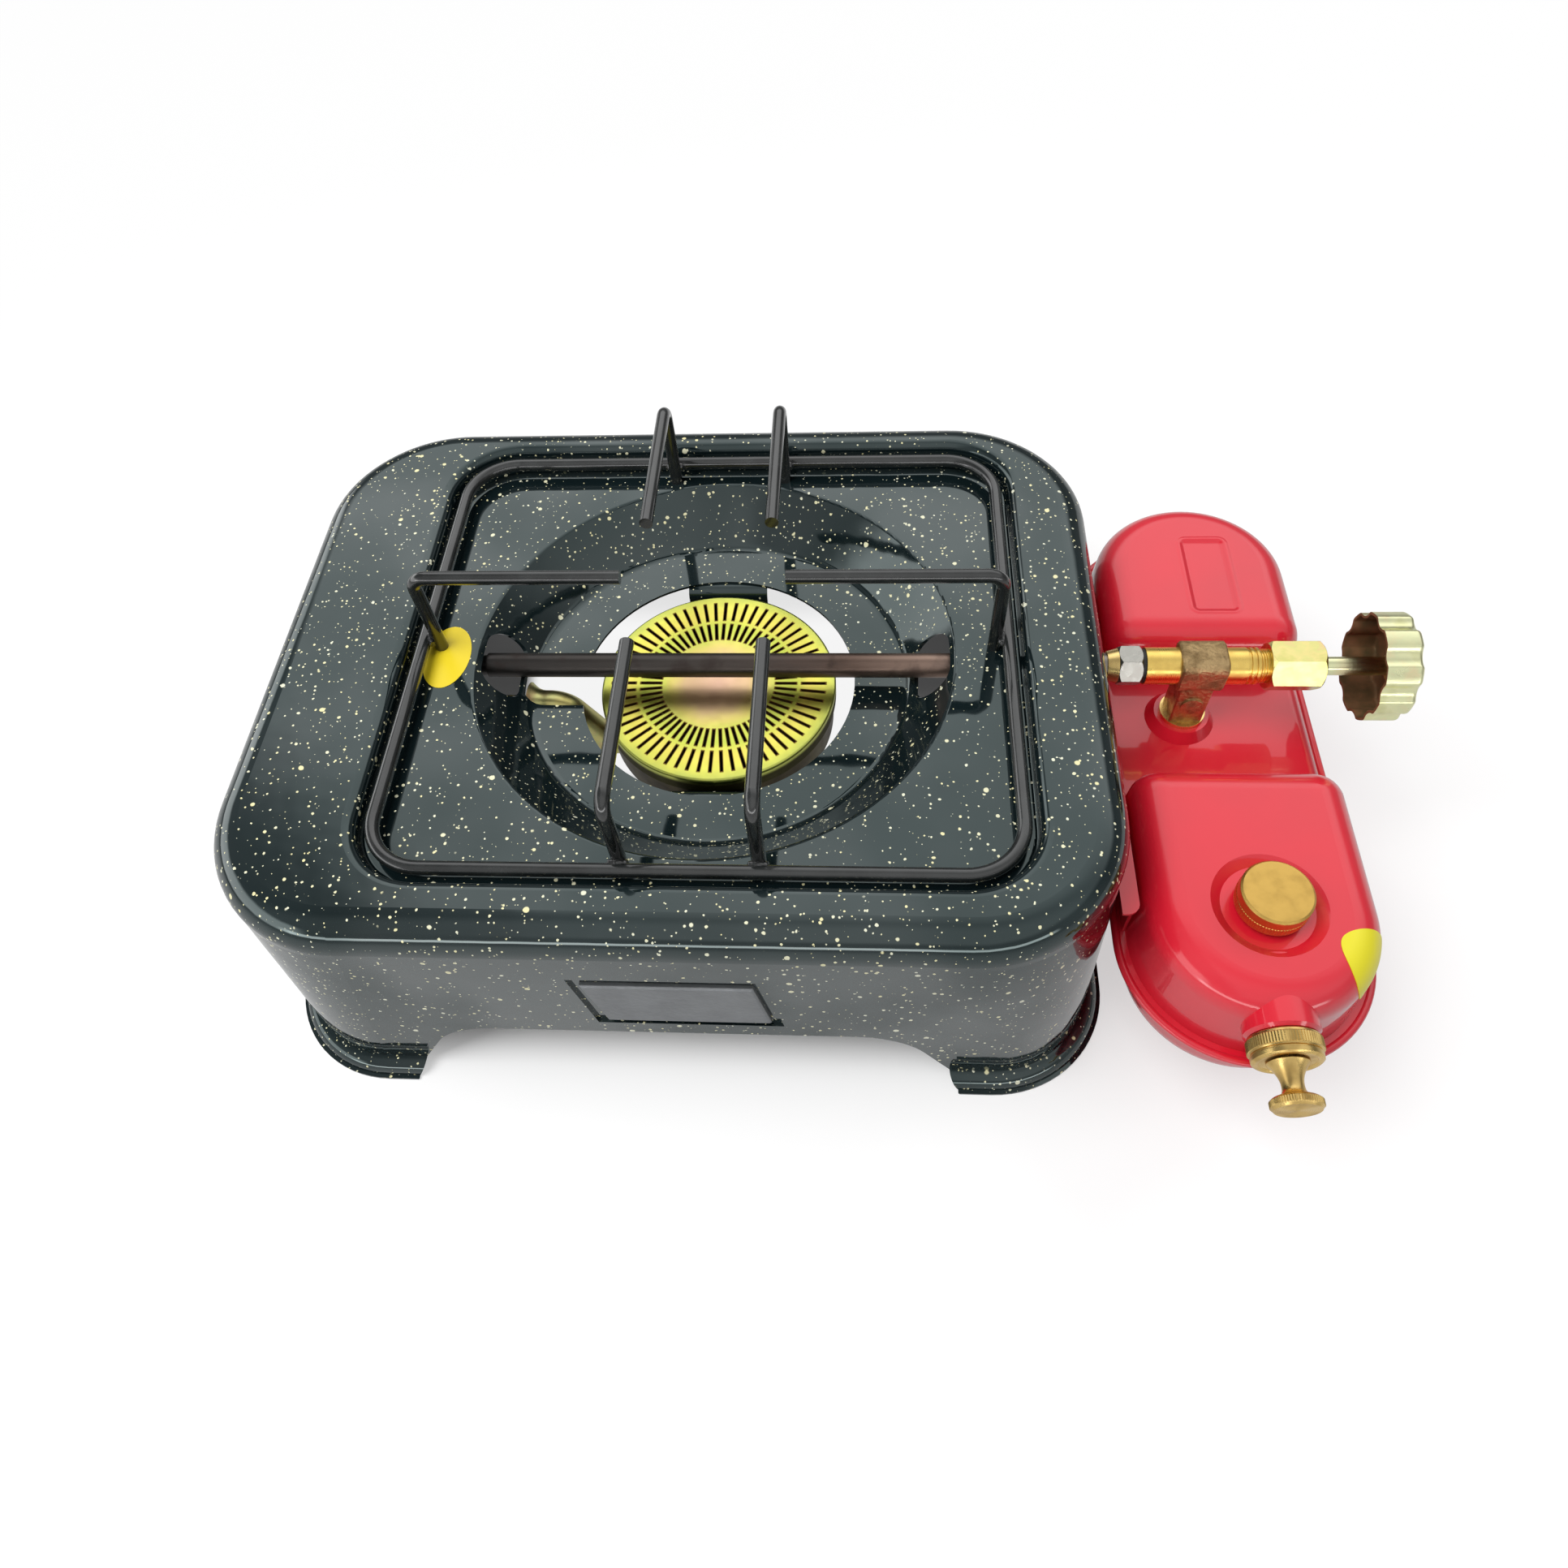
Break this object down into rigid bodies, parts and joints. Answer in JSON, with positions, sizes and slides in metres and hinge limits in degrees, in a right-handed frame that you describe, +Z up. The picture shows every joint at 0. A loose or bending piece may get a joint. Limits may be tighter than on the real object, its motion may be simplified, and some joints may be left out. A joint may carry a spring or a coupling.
{
  "type": "single burner petrol stove",
  "caption": "Single burner petrol stove: speckled enamel body, lift-off wire grate, slotted burner with generator tube, needle valve with handwheel and a side-hung pressure tank with hand pump.",
  "frame": {"origin": "middle of the whole stove's base, on the ground", "axes": "+X from the body towards the tank and handwheel, +Y from the name plate towards the back, +Z up"},
  "size_m": [0.4718, 0.3148, 0.1575],
  "materials": {
    "enamel": "gloss black vitreous enamel with cream speckles",
    "grate_black": "satin black enamel on wire",
    "plate_metal": "dull cast pewter grey",
    "plated_steel": "yellow passivated zinc plate",
    "scaled_steel": "dark steel with heat tint",
    "brass": "turned and cast, semi-bright",
    "seal": "matt black",
    "bright_steel": "plated, satin",
    "red_paint": "gloss red enamel paint",
    "leather": "oiled"
  },
  "bodies": {
    "stove": {"body_shell": "enamel", "burner_bridge": "enamel", "name_plate": "plate_metal", "burner_cap": "plated_steel", "burner_pan": "plated_steel", "mixing_tube": "plated_steel", "burner_bolt": "plated_steel", "name_plate_pins": "plated_steel", "packing_nut": "plated_steel", "generator_tube": "scaled_steel", "generator_core": "scaled_steel", "return_bend": "scaled_steel", "jet_nozzle": "brass", "coupling_cone": "brass", "inner_valve_sleeve": "brass", "valve_block": "brass", "outer_valve_sleeve": "brass", "valve_bung": "brass", "filler_neck": "brass", "pickup_tube": "brass", "check_valve": "brass", "pump_cap": "brass", "coupling_washer": "seal", "stem_packing": "seal", "coupling_nut": "bright_steel", "pump_cylinder": "bright_steel", "tank_upper_shell": "red_paint", "tank_lower_shell": "red_paint", "tank_bracket": "red_paint"},
    "grate": {"grate_ring": "grate_black", "grate_finger_left": "grate_black", "grate_finger_right": "grate_black", "grate_finger_front_left": "grate_black", "grate_finger_front_right": "grate_black", "grate_finger_back_left": "grate_black", "grate_finger_back_right": "grate_black"},
    "stem": {"valve_stem": "plated_steel"},
    "wheel": {"handwheel": "plated_steel", "handwheel_screw": "plated_steel"},
    "gasket": {"filler_gasket": "seal"},
    "cap": {"filler_cap": "brass"},
    "pump": {"plunger_rod": "bright_steel", "pump_knob": "brass", "plunger_cup": "leather", "plunger_nut": "brass"}
  },
  "joints": [
    {"name": "grate_lift", "type": "slide", "parent": "stove", "child": "grate", "axis": [0, 0, 1], "range_m": [0, 0.06]},
    {"name": "stem_travel", "type": "slide", "parent": "stove", "child": "stem", "axis": [1, 0, 0], "range_m": [0, 0.00188]},
    {"name": "valve_turn", "type": "hinge", "parent": "stem", "child": "wheel", "pos_m": [0.2197, 0.0169, 0.104], "axis": [1, 0, 0], "range_deg": [0, 540]},
    {"name": "filler_rise", "type": "slide", "parent": "stove", "child": "gasket", "axis": [0, 0, 1], "range_m": [0, 0.005]},
    {"name": "filler_turn", "type": "hinge", "parent": "gasket", "child": "cap", "pos_m": [0.1666, -0.0861, 0.093], "axis": [0, 0, 1], "range_deg": [0, 900]},
    {"name": "pump_stroke", "type": "slide", "parent": "stove", "child": "pump", "axis": [0, -1, 0], "range_m": [0, 0.075]}
  ],
  "couplings": [
    {"joint": "stem_travel", "follows": "valve_turn", "m_per_rad": 0.00019894},
    {"joint": "filler_rise", "follows": "filler_turn", "m_per_rad": 0.00031831}
  ]
}
